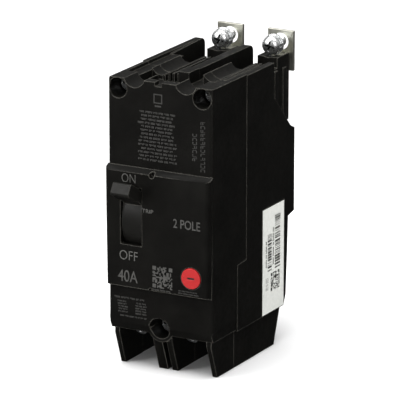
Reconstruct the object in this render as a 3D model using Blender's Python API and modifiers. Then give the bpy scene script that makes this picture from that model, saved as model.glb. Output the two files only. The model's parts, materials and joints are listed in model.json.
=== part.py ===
"""Two-pole bolt-on moulded-case circuit breaker, with its contacts, mechanism and trip unit.

Lengths below are in millimetres and the scene is in metres. A place is given from the case datum:
x from the middle, y back from the cover's front face, z up from the cover's top front edge.
The part's origin is the middle of the flat rear pad. +Z is up and the front faces -Y.
"""

import math

import bmesh
import bpy
from mathutils import Matrix, Vector

MM = 0.001
GAP = 0.3

# Case
HALF_WIDTH = 25.4
POLES = {"left": -12.5, "right": 12.5}
HALF_CAVITY = 10.5
SEAM_Y = 30.7
LOWER_SEAM_Y = 22.7
SEAM_STEP_Z = -82.5
REAR_Y = 75.3
PAD_TOP_Z = -33.8
PAD_BOTTOM_Z = -71.5
CHAMFER_Z = -108.3
COVER_BOTTOM_Z = -112.0
TIP_Z = -129.4
LEG_HALF_WIDTH = 23.64
SHELF_Z = (-98.0, -96.4)
RAISED = 3.2
PLATE_BOTTOM_Z = -91.2
PLATE_TAPER = 0.975
FRONT_WALL = 2.4
DATUM = Vector((0.0, -REAR_Y, -(PAD_TOP_Z + PAD_BOTTOM_Z) / 2))

# Case screws and tool scoops
CASE_SCREWS = {"left": (-20.4, -4.6), "right": (20.4, -4.6), "bottom": (-0.6, -109.2)}
SCREW_WELL_R = {"left": 4.1, "right": 4.1, "bottom": 4.6}
WELL_CHAMFER = 0.45
SCREW_WELL_Y = 11.6
SCREW_HEAD_R = 3.5
SCREW_SHANK_R = 1.9
SCOOP_R = 5.1
SCOOP_Z = 1.5
BOSS_TOP_Z = -1.6

# Vents in the top of each pole
DECK_Z = -5.5
VENT_BARS = (2.6, 4.8, 7.0, 9.2)
VENT_BAR_T = 1.1
VENT_CROSS_Y = (26.0, 35.0, 43.0, 51.0)

# Line terminal
LINE_Z = 0.8
HEAD_R = 4.2
GUIDE_R = 4.6
TOWER_HALF = 4.9
TOWER_TOP_Z = -3.4
TOWER_REAR_Y = 85.0
TOWER_RIB_Y = (62.0, 70.5, 78.5)
STRAP_Y = 86.2
STRAP_T = 1.5
STRAP_HALF = 6.35
STRAP_TOP_Z = 6.0
STRAP_BEND_Z = -12.0

# Handle
HANDLE_X = -12.3
HANDLE_YZ = (14.0, -59.8)
HANDLE_HALF = 4.45
SLOT_HALF = 5.15
SLOT_Z = (-72.3, -46.7)
SLOT_POCKET_Z = (-78.0, -42.4)
SLOT_WALL = 2.4
HANDLE_LEAN = 29.0
SHIELD_HALF = 4.85
SHIELD_HALF_ANGLE = 79.0
SHIELD_T = 1.8
SHIELD_R = 15.9
SHIELD_END_R = 18.7
HANDLE_TIP_R = 30.1

# Switching mechanism, as (y, z)
CROSSBAR_YZ = (48.0, -60.0)
CRANK_YZ = (46.0, -51.0)
TOGGLE_YZ = (36.52, -57.15)
CRADLE_LINK_YZ = (26.0, -60.0)
CRADLE_YZ = (26.0, -78.0)
SPRING_YZ = (19.0, -62.0)
PIN_R = 1.2
HOLE_R = PIN_R + GAP
MECHANISM_X = POLES["left"]

# Trip unit, as (y, z)
TRIP_BAR_YZ = (44.0, -89.0)
TRIP_BAR_R = 2.4
BUTTON_XZ = (16.8, -83.0)
BUTTON_R = 4.55
ARMATURE_YZ = (49.8, -73.0)

BLACK = ((0.018, 0.017, 0.016), 0.42, 0.0)
STEEL = ((0.56, 0.56, 0.55), 0.35, 1.0)
ZINC = ((0.72, 0.73, 0.74), 0.25, 1.0)
TIN = ((0.66, 0.67, 0.62), 0.38, 1.0)
COPPER = ((0.72, 0.36, 0.2), 0.35, 1.0)
SILVER = ((0.82, 0.8, 0.76), 0.3, 1.0)
FIBRE = ((0.33, 0.16, 0.1), 0.75, 0.0)
BROWN = ((0.16, 0.07, 0.045), 0.5, 0.0)
RED = ((0.62, 0.035, 0.035), 0.35, 0.0)
PAPER = ((0.82, 0.82, 0.78), 0.55, 0.0)

# Axis frames for outlines: the outline's two directions, then the direction that it is extruded in
SIDE = Matrix(((0, 0, 1), (1, 0, 0), (0, 1, 0)))
FRONT = Matrix(((1, 0, 0), (0, 0, 1), (0, 1, 0)))


def clear_scene():
    for thing in list(bpy.data.objects):
        bpy.data.objects.remove(thing, do_unlink=True)


def make_collection(name, hidden=False):
    collection = bpy.data.collections.new(name)
    bpy.context.scene.collection.children.link(collection)
    collection.hide_render = hidden
    return collection


def finish_material(name, finish):
    material = bpy.data.materials.new(name)
    material.use_nodes = True
    shader = material.node_tree.nodes["Principled BSDF"]
    color, roughness, metallic = finish
    shader.inputs["Base Color"].default_value = (*color, 1.0)
    shader.inputs["Roughness"].default_value = roughness
    shader.inputs["Metallic"].default_value = metallic
    return material


def solid(mesh_builder, name):
    """An object from a bmesh whose coordinates are millimetres from the datum."""
    mesh = bpy.data.meshes.new(name)
    mesh_builder.transform(Matrix.Scale(MM, 4) @ Matrix.Translation(DATUM))
    bmesh.ops.recalc_face_normals(mesh_builder, faces=mesh_builder.faces)
    mesh_builder.to_mesh(mesh)
    mesh_builder.free()
    return bpy.data.objects.new(name, mesh)


def box(x, y, z, name="box"):
    """A block that spans the ranges x, y and z."""
    work = bmesh.new()
    size = Matrix.Diagonal((x[1] - x[0], y[1] - y[0], z[1] - z[0], 1.0))
    middle = Matrix.Translation([(a + b) / 2 for a, b in (x, y, z)])
    bmesh.ops.create_cube(work, size=1.0, matrix=middle @ size)
    return solid(work, name)


def rod(radius, start, end, name="rod", sides=24, end_radius=None):
    """A round bar, or a cone with an end radius, from one point to another."""
    work = bmesh.new()
    start, end = Vector(start), Vector(end)
    turn = (end - start).to_track_quat("Z", "Y").to_matrix().to_4x4()
    bmesh.ops.create_cone(
        work, cap_ends=True, segments=sides, radius1=radius, radius2=end_radius or radius,
        depth=(end - start).length, matrix=Matrix.Translation((start + end) / 2) @ turn,
    )
    return solid(work, name)


def across(radius, yz, x, name="rod", sides=20):
    """A round bar along X at a place (y, z)."""
    return rod(radius, (x[0], *yz), (x[1], *yz), name, sides)


def along(radius, xz, y, name="rod", sides=24):
    """A round bar along Y at a place (x, z)."""
    return rod(radius, (xz[0], y[0], xz[1]), (xz[0], y[1], xz[1]), name, sides)


def sheet(outline, frame, span, name="sheet"):
    """A flat outline, extruded over a span. SIDE takes (y, z) points along X, FRONT takes (x, z) along Y."""
    curve = bpy.data.curves.new(name, "CURVE")
    curve.dimensions = "2D"
    curve.fill_mode = "BOTH"
    curve.extrude = (span[1] - span[0]) / 2
    spline = curve.splines.new("POLY")
    spline.points.add(len(outline) - 1)
    for point, (u, v) in zip(spline.points, outline):
        point.co = (u, v, 0.0, 1.0)
    spline.use_cyclic_u = True
    holder = bpy.data.objects.new(name, curve)
    bpy.context.scene.collection.objects.link(holder)
    bpy.context.view_layer.update()
    flat = bpy.data.meshes.new_from_object(holder.evaluated_get(bpy.context.evaluated_depsgraph_get()))
    bpy.data.objects.remove(holder, do_unlink=True)
    work = bmesh.new()
    work.from_mesh(flat)
    bpy.data.meshes.remove(flat)
    bmesh.ops.remove_doubles(work, verts=work.verts, dist=0.001)
    middle = frame @ Vector((0.0, 0.0, sum(span) / 2))
    work.transform(Matrix.Translation(middle) @ frame.to_4x4())
    return solid(work, name)


def side_sheet(outline, x, name="sheet"):
    return sheet(outline, SIDE, x, name)


def front_sheet(outline, y, name="sheet"):
    return sheet(outline, FRONT, y, name)


def arc(centre, radius, start, end, steps):
    """Points on an arc, with angles in degrees."""
    angles = [math.radians(start + (end - start) * i / steps) for i in range(steps + 1)]
    return [(centre[0] + radius * math.cos(a), centre[1] + radius * math.sin(a)) for a in angles]


def coil(start, end, radius, wire, turns, name):
    """A helical spring between two points, as a tube with filled caps."""
    start, end = Vector(start), Vector(end)
    turn = (end - start).to_track_quat("Z", "Y").to_matrix()
    steps = 9 * turns
    curve = bpy.data.curves.new(name, "CURVE")
    curve.dimensions = "3D"
    curve.bevel_depth = wire * MM
    curve.bevel_resolution = 1
    curve.use_fill_caps = True
    spline = curve.splines.new("POLY")
    spline.points.add(steps)
    for i, point in enumerate(spline.points):
        angle = 2 * math.pi * turns * i / steps
        rise = (end - start).length * i / steps
        place = start + turn @ Vector((radius * math.cos(angle), radius * math.sin(angle), rise))
        point.co = (*((place + DATUM) * MM), 1.0)
    return bpy.data.objects.new(name, curve)


def tube(points, radius, name):
    """A flexible lead along a smooth curve through its points."""
    curve = bpy.data.curves.new(name, "CURVE")
    curve.dimensions = "3D"
    curve.bevel_depth = radius * MM
    curve.bevel_resolution = 2
    curve.use_fill_caps = True
    smooth = []
    ends = [points[0]] + points + [points[-1]]
    for a, b, c, d in zip(ends, ends[1:], ends[2:], ends[3:]):
        a, b, c, d = (Vector(p) for p in (a, b, c, d))
        for i in range(4):
            t = i / 4
            smooth.append(0.5 * (2 * b + (c - a) * t + (2 * a - 5 * b + 4 * c - d) * t * t
                                 + (3 * b - a - 3 * c + d) * t ** 3))
    smooth.append(Vector(points[-1]))
    spline = curve.splines.new("POLY")
    spline.points.add(len(smooth) - 1)
    for point, place in zip(spline.points, smooth):
        point.co = (*((place + DATUM) * MM), 1.0)
    return bpy.data.objects.new(name, curve)


class Assembly:
    """The object's collection, its cutters, and one material for each sub-part."""

    def __init__(self):
        self.parts = make_collection("circuit_breaker")
        self.cutters = make_collection("cutters", hidden=True)

    def add(self, name, thing, finish, axis=None):
        """Names a sub-part, gives it its material and, if it turns, puts its origin on its axis."""
        thing.name = name
        thing.data.name = name
        thing.data.materials.append(finish_material(name, finish))
        self.parts.objects.link(thing)
        if axis:
            place = (Vector(axis) + DATUM) * MM
            thing.data.transform(Matrix.Translation(-place))
            thing.location = place
        if thing.type == "MESH":
            thing.data.shade_smooth()
            thing.data.set_sharp_from_angle(angle=math.radians(35))
        return thing

    def _boolean(self, thing, tools, operation):
        for tool in tools:
            tool.name = f"{operation.lower()}_tool"
            self.cutters.objects.link(tool)
            tool.hide_render = True
            tool.display_type = "WIRE"
            change = thing.modifiers.new(operation.lower(), "BOOLEAN")
            change.operation = operation
            change.solver = "EXACT"
            change.object = tool
        return thing

    def cut(self, thing, *tools):
        return self._boolean(thing, tools, "DIFFERENCE")

    def join(self, thing, *tools):
        return self._boolean(thing, tools, "UNION")


def round_front_edges(thing, width, y_limit):
    """Rounds the edges up the case's two front corners."""
    mesh = thing.data
    weights = mesh.attributes.new("bevel_weight_edge", "FLOAT", "EDGE")
    for edge in mesh.edges:
        ends = [mesh.vertices[i].co / MM - DATUM for i in edge.vertices]
        upright = abs(ends[0].z - ends[1].z) > 5.0
        corner = all(abs(p.x) > HALF_WIDTH - 1.5 and p.y < y_limit for p in ends)
        weights.data[edge.index].value = 1.0 if upright and corner else 0.0
    bevel = thing.modifiers.new("rounded_corners", "BEVEL")
    bevel.limit_method = "WEIGHT"
    bevel.width = width * MM
    bevel.segments = 4


def leg_outline(front, back):
    """Side outline of a wiring barrier between a front and a back depth."""
    nose = [(2.33, -114.6), (7.8, TIP_Z)] if front is None else [(front, TIP_Z)]
    top_front = [(2.33, -108.0)] if front is None else [(front, -108.0)]
    tail = [(60.0, TIP_Z), (65.6, -113.5)] if back is None else [(back, TIP_Z)]
    top_back = [(65.6, -108.0)] if back is None else [(back, -108.0)]
    return top_front + nose + tail + top_back


LEG_SPANS = ((-LEG_HALF_WIDTH, -21.3), (-4.9, -0.4), (1.7, 4.6), (21.3, LEG_HALF_WIDTH))


def cover_shell():
    outline = [(0.0, 0.0), (0.0, CHAMFER_Z), (1.8, COVER_BOTTOM_Z), (LOWER_SEAM_Y - GAP, COVER_BOTTOM_Z),
               (LOWER_SEAM_Y - GAP, SEAM_STEP_Z), (SEAM_Y - GAP, SEAM_STEP_Z + 0.6), (SEAM_Y - GAP, 0.0)]
    shell = side_sheet(outline, (-HALF_WIDTH, HALF_WIDTH), "front_cover")
    round_front_edges(shell, 1.8, 1.9)
    return shell


def foot_chamfers():
    """Wedges that narrow the cover's two lower corners."""
    narrow = HALF_WIDTH - 0.5
    return [front_sheet([(side * narrow, CHAMFER_Z), (side * 27.0, CHAMFER_Z + 5.0), (side * 27.0, -120.0),
                         (side * narrow, -120.0)], (-1.0, 30.0)) for side in (-1, 1)]


def escutcheon():
    """The raised front plate, which is a little narrower at its lower edge."""
    outline = [(0.4, -38.2), (0.0, -38.4), (-RAISED, -40.1), (-RAISED, PLATE_BOTTOM_Z),
               (0.4, PLATE_BOTTOM_Z - 1.0)]
    plate = side_sheet(outline, (-HALF_WIDTH, HALF_WIDTH))
    for vertex in plate.data.vertices:
        if vertex.co.z / MM - DATUM.z < PLATE_BOTTOM_Z + 0.2:
            vertex.co.x *= PLATE_TAPER
    round_front_edges(plate, 1.8, 0.0)
    return plate


def pole_tops():
    """Blocks that lower the cover's top between the barriers, down to the screws' bosses and the vents."""
    tools = []
    for side in (-1, 1):
        tools.append(box(sorted((side * 2.6, side * 17.1)), (12.0, 40.0), (DECK_Z, 1.0)))
        tools.append(box(sorted((side * 17.0, side * 22.6)), (12.0, 40.0), (BOSS_TOP_Z, 1.0)))
    return tools


def vents(x, y):
    """A pole's raised deck and its vent bars, over a range of y."""
    foot = DECK_Z - 0.5
    row = (x + VENT_BARS[0], x + VENT_BARS[-1])
    pieces = [box((x - 4.6, x + 0.6), (max(y[0], 24.0), min(y[1], 49.0)), (foot, -0.9))]
    for offset in VENT_BARS:
        pieces.append(box((x + offset - VENT_BAR_T / 2, x + offset + VENT_BAR_T / 2), y, (foot, -1.4)))
    for start in VENT_CROSS_Y:
        if y[0] < start < y[1] - VENT_BAR_T:
            pieces.append(box(row, (start, start + VENT_BAR_T), (foot, -2.2)))
    return pieces


def front_cover(kit):
    cover = cover_shell()
    legs = [side_sheet(leg_outline(None, LOWER_SEAM_Y - GAP), x) for x in LEG_SPANS]
    kit.join(cover, escutcheon())
    for x in POLES.values():
        kit.cut(cover, box((x - HALF_CAVITY, x + HALF_CAVITY), (FRONT_WALL, 40.0), (-115.0, -8.0)))
    kit.join(cover, *legs)
    foot_x, foot_z = CASE_SCREWS["bottom"]
    kit.join(cover, along(6.2, (foot_x, foot_z), (1.6, 20.0)))
    kit.join(cover, box((-5.0, 3.8), (1.6, 20.0), (-110.0, -98.0)))
    for side in (-1, 1):
        kit.join(cover, box(sorted((side * 15.4, side * 24.6)), (1.0, SEAM_Y - GAP), (-10.2, -1.0)))
    kit.cut(cover, *pole_tops())
    for x in POLES.values():
        kit.join(cover, *vents(x, (22.0, SEAM_Y - GAP)))
        kit.cut(cover, along(SCOOP_R, (x, SCOOP_Z), (-1.0, 40.0), sides=32))
    kit.cut(cover, box((-2.4, 0.8), (-1.0, 4.0), (-1.8, 1.0)))
    kit.cut(cover, box((-7.4, 7.4), (4.0, 21.0), (-5.0, 1.0)), *foot_chamfers())
    kit.join(cover, box((-23.4, 23.4), (2.0, LOWER_SEAM_Y - GAP), SHELF_Z))
    for place, (x, z) in CASE_SCREWS.items():
        radius = SCREW_WELL_R[place]
        mouth = rod(radius + 2 * WELL_CHAMFER, (x, -WELL_CHAMFER, z), (x, WELL_CHAMFER, z), sides=32,
                    end_radius=radius)
        kit.cut(cover, along(radius, (x, z), (-1.0, SCREW_WELL_Y), sides=32), mouth)
        kit.cut(cover, along(SCREW_SHANK_R + GAP, (x, z), (SCREW_WELL_Y - 1.0, 40.0), sides=16))
    slot_x = (HANDLE_X - SLOT_HALF, HANDLE_X + SLOT_HALF)
    kit.cut(cover, box(slot_x, (-5.0, 5.0), SLOT_Z), box(slot_x, (SLOT_WALL - RAISED, 5.0), SLOT_POCKET_Z))
    kit.cut(cover, along(BUTTON_R + GAP, BUTTON_XZ, (-5.0, 5.0)))
    kit.cut(cover, along(1.3, (-2.4, -40.2), (-5.0, -1.0), sides=16))
    kit.cut(cover, along(1.2, (-2.8, -91.4), (-5.0, -0.6), sides=16))
    chamfer = front_sheet([(-26.0, -1.8), (-23.4, 0.8), (-26.0, 0.8)], (-1.0, 31.0))
    kit.cut(cover, chamfer)
    kit.add("front_cover", cover, BLACK)


def base_outline():
    return [(SEAM_Y, -5.5), (55.8, -5.5), (55.8, -16.0), (71.7, -32.2), (REAR_Y, PAD_TOP_Z),
            (REAR_Y, PAD_BOTTOM_Z), (69.6, -72.8), (69.4, -80.0), (68.8, -92.0), (67.8, -108.0),
            (65.8, -112.6), (LOWER_SEAM_Y, -112.6), (LOWER_SEAM_Y, SEAM_STEP_Z - GAP),
            (SEAM_Y, SEAM_STEP_Z - GAP + 0.6)]


def barrier_outline(rear, top, foot):
    """Side outline of a top barrier whose rear top corner is rounded."""
    corner = arc((rear - 3.0, top - 3.0), 3.0, 90, 0, 5)
    return [(SEAM_Y, -8.0), (SEAM_Y, top)] + corner + foot


def top_barriers():
    slope = [(80.0, -29.0), (REAR_Y - 1.0, -35.0), (60.0, -35.0), (50.0, -15.0), (50.0, -8.0)]
    return [
        side_sheet(barrier_outline(80.0, 0.0, slope), (-HALF_WIDTH, -22.6)),
        side_sheet([(50.0, -1.0)] + arc((77.0, -3.0), 3.0, 90, 0, 5) + slope[:3] + [(50.0, -15.0)],
                   (-24.0, -21.6)),
        side_sheet(barrier_outline(80.0, -0.5, slope), (-1.8, 2.4)),
        side_sheet([(SEAM_Y, -8.0), (SEAM_Y, -0.6), (55.8, -0.6), (55.8, -10.0), (SEAM_Y, -10.0)],
                   (22.6, HALF_WIDTH)),
    ]


def cavity_outline():
    return [(10.0, -8.3), (53.2, -8.3), (53.2, -17.1), (69.4, -33.7), (72.6, -36.2), (72.6, -69.0),
            (66.8, -74.0), (66.2, SHELF_Z[1]), (10.0, SHELF_Z[1])]


def terminal_tower(x):
    """Blocks of the tower that carries a line screw, with the ribs up its sides."""
    outline = [(54.0, -33.5), (54.0, -8.0), (73.8, -8.0), (73.8, TOWER_TOP_Z), (TOWER_REAR_Y, TOWER_TOP_Z),
               (TOWER_REAR_Y, -33.5)]
    rib_x = (x - TOWER_HALF - 0.7, x + TOWER_HALF + 0.7)
    ribs = [box(rib_x, (y, y + 3.0), (-33.0, -9.0)) for y in TOWER_RIB_Y]
    return [side_sheet(outline, (x - TOWER_HALF, x + TOWER_HALF))] + ribs


def base_cavities(kit, base):
    for x in POLES.values():
        kit.cut(base, side_sheet(cavity_outline(), (x - HALF_CAVITY, x + HALF_CAVITY)))
        kit.cut(base, box((x - 9.0, x + 8.8), (10.0, 63.4), (-135.0, SHELF_Z[0])))
        kit.cut(base, box((x - 3.6, x + 3.6), (50.0, 82.6), (-31.0, -8.4)))
        kit.cut(base, box((x - 3.4, x + 3.4), (80.0, 90.0), (STRAP_BEND_Z - GAP, -10.2)))
        kit.cut(base, box((x - 4.5, x + 4.5), (55.5, 57.7), (-100.0, -94.0)))
        kit.cut(base, along(GUIDE_R, (x, LINE_Z), (70.0, 90.0), sides=32))
        kit.cut(base, box((x - 4.5, x + 4.5), (78.4, 90.0), (-5.3, 2.0)))


def base(kit):
    body = side_sheet(base_outline(), (-HALF_WIDTH, HALF_WIDTH), "base")
    kit.join(body, *top_barriers())
    for x in POLES.values():
        kit.join(body, *terminal_tower(x))
    for span in LEG_SPANS:
        kit.join(body, side_sheet(leg_outline(LOWER_SEAM_Y, None), span))
    base_cavities(kit, body)
    kit.join(body, *[side_sheet(leg_outline(LOWER_SEAM_Y, None), span) for span in LEG_SPANS[1:3]])
    for x in POLES.values():
        kit.join(body, *vents(x, (SEAM_Y, 54.8)))
        kit.cut(body, along(SCOOP_R, (x, SCOOP_Z), (20.0, 56.0), sides=32))
    kit.join(body, box((11.6, 23.2), (31.2, 35.6), (-89.0, -77.0)))
    kit.cut(body, along(3.3, BUTTON_XZ, (30.0, 33.4)), along(2.2, BUTTON_XZ, (30.0, 40.0), sides=16))
    for yz, radius in ((CROSSBAR_YZ, 3.9), (TRIP_BAR_YZ, 2.8)):
        kit.cut(body, across(radius, yz, (-24.3, 24.3)))
        kit.cut(body, box((-3.0, 3.0), (20.0, yz[0]), (yz[1] - radius, yz[1] + radius)))
    for side in (-1, 1):
        kit.join(body, box(sorted((side * 17.1, side * 24.8)), (SEAM_Y, 52.0), (-8.0, BOSS_TOP_Z)))
    for x, z in CASE_SCREWS.values():
        kit.cut(body, along(SCREW_SHANK_R + GAP, (x, z), (20.0, 48.0), sides=16))
    kit.cut(body, box((25.1, 30.0), (45.4, 65.6), (-112.4, -64.1)))
    kit.add("base", body, BLACK)


def side_label(kit):
    kit.add("side_label", box((25.4, 25.55), (45.7, 65.3), (-112.1, -64.4)), PAPER)


def case_screws(kit):
    for place, (x, z) in CASE_SCREWS.items():
        head = (SCREW_WELL_Y - GAP - 2.3, SCREW_WELL_Y - GAP)
        screw = along(SCREW_HEAD_R, (x, z), head)
        kit.join(screw, along(SCREW_SHANK_R, (x, z), (head[1] - 0.7, 46.0 if z > -50 else 34.0), sides=12))
        kit.cut(screw, box((x - 2.8, x + 2.8), (head[0] - 0.4, head[0] + 1.0), (z - 0.5, z + 0.5)))
        kit.add(f"case_screw_{place}", screw, ZINC)


def phillips(kit, screw, x, z, y, reach):
    for half in ((reach, 0.55), (0.55, reach)):
        kit.cut(screw, box((x - half[0], x + half[0]), (y - 1.0, y + 1.4), (z - half[1], z + half[1])))


def line_terminals(kit):
    for side, x in POLES.items():
        line_strap(kit, side, x)
        screw = rod(HEAD_R - 1.5, (x, 75.0, LINE_Z), (x, 76.0, LINE_Z), sides=32, end_radius=HEAD_R)
        kit.join(screw, along(HEAD_R, (x, LINE_Z), (76.0, 77.8), sides=32))
        kit.join(screw, along(2.4, (x, LINE_Z), (77.4, 88.4), sides=16))
        phillips(kit, screw, x, LINE_Z, 75.0, 2.3)
        kit.add(f"line_screw_{side}", screw, ZINC, (x, 76.0, LINE_Z))
        for name, outer, y in (("lock_washer", 4.2, (78.1, 79.3)), ("flat_washer", 4.7, (79.6, 80.5))):
            washer = along(outer, (x, LINE_Z), y, sides=28)
            kit.cut(washer, along(2.7, (x, LINE_Z), (y[0] - 1, y[1] + 1), sides=16))
            if name == "lock_washer":
                kit.cut(washer, box((x + 1.0, x + 6.0), (77.0, 81.0), (LINE_Z - 0.4, LINE_Z + 0.4)))
            kit.add(f"{name}_{side}", washer, ZINC, (x, y[0], LINE_Z))


def line_strap(kit, side, x):
    """The strap that bolts to the bus, its ledge under the screw, and its tail down to the fixed contact."""
    strap = box((x - STRAP_HALF, x + STRAP_HALF), (STRAP_Y, STRAP_Y + STRAP_T), (STRAP_BEND_Z, STRAP_TOP_Z))
    kit.join(strap, box((x - 4.1, x + 4.1), (78.8, STRAP_Y + 0.7), (-4.95, -4.15)))
    tail = [(STRAP_Y + STRAP_T, STRAP_BEND_Z), (STRAP_Y + STRAP_T, -10.5), (58.5, -10.5), (58.5, -30.0),
            (60.0, -30.0), (60.0, STRAP_BEND_Z)]
    kit.join(strap, side_sheet(tail, (x - 3.0, x + 3.0)))
    kit.cut(strap, along(3.75, (x, LINE_Z), (80.0, 90.0), sides=32))
    kit.add(f"line_strap_{side}", strap, TIN)
    kit.add(f"fixed_contact_{side}", box((x - 3.0, x + 3.0), (56.8, 58.2), (-28.5, -22.5)), SILVER)


def contact_arms(kit):
    outline = [(44.0, -56.1), (43.2, -50.0), (46.0, -46.5), (51.6, -23.0), (54.5, -23.0), (54.5, -30.0),
               (50.2, -47.0), (50.8, -56.1)]
    for side, x in POLES.items():
        arm = side_sheet(outline, (x - 1.6, x + 1.6))
        kit.cut(arm, across(HOLE_R, CRANK_YZ, (x - 5, x + 5), sides=16))
        kit.add(f"contact_arm_{side}", arm, COPPER, (x, *CROSSBAR_YZ))
        tip = box((x - 2.8, x + 2.8), (54.8, 56.4), (-28.5, -23.2))
        kit.add(f"moving_contact_{side}", tip, SILVER, (x, *CROSSBAR_YZ))


def crossbar(kit):
    bar = across(3.5, CROSSBAR_YZ, (-23.9, 23.9))
    cheek = [(43.2, -48.5), (48.8, -48.5), (51.4, -60.0), (48.0, -63.4), (44.6, -60.0)]
    for x in POLES.values():
        for near, far in ((-4.0, -2.0), (2.0, 4.0)):
            kit.join(bar, side_sheet(cheek, (x + near, x + far)))
    kit.cut(bar, across(HOLE_R, CRANK_YZ, (-30.0, 30.0), sides=16))
    kit.add("crossbar", bar, BROWN, (0.0, *CROSSBAR_YZ))
    for side, x in POLES.items():
        reach = 8.0 if side == "left" else 4.4
        kit.add(f"arm_pin_{side}", across(PIN_R, CRANK_YZ, (x - reach, x + reach), sides=12), STEEL,
                (x, *CROSSBAR_YZ))


def arc_chutes(kit):
    for side, x in POLES.items():
        frame = box((x - 9.6, x + 9.6), (34.5, 52.8), (-31.0, -8.7))
        kit.cut(frame, box((x - 8.5, x + 8.5), (30.0, 60.0), (-40.0, -9.8)))
        kit.add(f"chute_frame_{side}", frame, FIBRE)
        for i, y in enumerate((37.0, 42.0, 47.0)):
            notch = [(x - 8.2, -10.1), (x + 8.2, -10.1), (x + 8.2, -30.0), (x + 4.2, -30.0), (x + 4.0, -21.0),
                     (x, -17.0), (x - 4.0, -21.0), (x - 4.2, -30.0), (x - 8.2, -30.0)]
            kit.add(f"arc_plate_{side}_{i + 1}", front_sheet(notch, (y, y + 1.2)), STEEL)


def side_plates(kit):
    outline = [(10.8, -55.6), (17.0, -55.6), (24.0, -46.5), (56.0, -46.5), (56.0, -68.0), (33.0, -81.6),
               (22.5, -81.6), (10.8, -64.0)]
    x = MECHANISM_X
    for name, span in (("outer", (x - 9.4, x - 8.2)), ("inner", (x + 8.2, x + 9.4))):
        plate = side_sheet(outline, span)
        wide = (span[0] - 1, span[1] + 1)
        kit.cut(plate, across(4.2, CROSSBAR_YZ, wide), box(wide, (CROSSBAR_YZ[0], 60.0), (-64.2, -55.8)))
        for yz in (HANDLE_YZ, CRADLE_YZ):
            kit.cut(plate, across(HOLE_R, yz, wide, sides=16))
        kit.add(f"side_plate_{name}", plate, STEEL)
    for name, yz in (("handle_pin", HANDLE_YZ), ("cradle_pin", CRADLE_YZ)):
        kit.add(name, across(PIN_R, yz, (x - 10.0, x + 10.0), sides=12), STEEL)


def handle_point(radius, angle):
    """A place on the handle, by its radius and its angle up from straight forward."""
    angle = math.radians(angle)
    return HANDLE_YZ[0] - radius * math.cos(angle), HANDLE_YZ[1] + radius * math.sin(angle)


def shield_arc(inset, steps=16):
    """The shield's outline, at a depth under its outer face: flatter than a circle about the pin."""
    points = []
    for i in range(steps + 1):
        offset = SHIELD_HALF_ANGLE * (2 * i / steps - 1)
        swell = (SHIELD_END_R - SHIELD_R) * math.sin(math.radians(offset)) ** 2
        points.append(handle_point(SHIELD_R + swell - inset, HANDLE_LEAN + offset))
    return points


def handle(kit):
    """The lever's curved shield, its web and hub, and the grip, which leans up when the breaker is on."""
    grip_x = (HANDLE_X - HANDLE_HALF, HANDLE_X + HANDLE_HALF)
    shield_x = (HANDLE_X - SHIELD_HALF, HANDLE_X + SHIELD_HALF)
    lever = side_sheet(shield_arc(0.0) + shield_arc(SHIELD_T)[::-1], shield_x)
    web = [handle_point(0.5, HANDLE_LEAN - SHIELD_HALF_ANGLE)] + shield_arc(SHIELD_T / 2)
    web += [handle_point(0.5, HANDLE_LEAN + SHIELD_HALF_ANGLE)]
    kit.join(lever, side_sheet(web, (HANDLE_X - 1.4, HANDLE_X + 1.4)))
    kit.join(lever, across(3.2, HANDLE_YZ, grip_x))
    kit.join(lever, side_sheet(grip_outline(HANDLE_LEAN), grip_x))
    lug = [(HANDLE_YZ[0], -62.6), (18.6, -63.9), (20.6, -62.9), (20.7, -61.0), (19.2, -60.1),
           (HANDLE_YZ[0], -57.4)]
    kit.join(lever, side_sheet(lug, (HANDLE_X - 1.4, HANDLE_X + 1.4)))
    kit.cut(lever, across(HOLE_R, HANDLE_YZ, (-30.0, 10.0), sides=16))
    kit.cut(lever, across(0.9 + GAP, SPRING_YZ, (-30.0, 10.0), sides=12))
    kit.add("handle", lever, BLACK, (HANDLE_X, *HANDLE_YZ))
    kit.add("spring_pin", across(0.9, SPRING_YZ, (MECHANISM_X - 7.6, MECHANISM_X + 7.6), sides=12), STEEL,
            (HANDLE_X, *HANDLE_YZ))


def grip_outline(lean):
    """Side outline of the grip: narrow where it passes the slot, with a thicker, rounded end."""
    turn = math.radians(lean)
    ahead = Vector((-math.cos(turn), math.sin(turn)))
    upward = Vector((math.sin(turn), math.cos(turn)))
    end = HANDLE_TIP_R
    half = [(SHIELD_R - 1.2, 3.1), (SHIELD_R + 3.0, 2.6), (SHIELD_R + 5.0, 2.6), (SHIELD_R + 6.4, 3.0),
            (end - 0.8, 2.9), (end, 2.1)]
    profile = half + [(a, -b) for a, b in reversed(half)]
    return [tuple(Vector(HANDLE_YZ) + ahead * a + upward * b) for a, b in profile]


def cradle(kit):
    outline = [(23.2, -80.6), (23.4, -57.8), (28.4, -57.8), (29.2, -64.0), (29.0, -74.0), (41.7, -80.9),
               (41.7, -82.9), (30.0, -80.8)]
    x = MECHANISM_X
    lever = side_sheet(outline, (x - 0.9, x + 0.9))
    kit.join(lever, across(PIN_R, CRADLE_LINK_YZ, (x - 2.6, x + 2.6), sides=12))
    kit.cut(lever, across(HOLE_R, CRADLE_YZ, (x - 5, x + 5), sides=16))
    kit.add("cradle", lever, STEEL, (x, *CRADLE_YZ))


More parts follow.
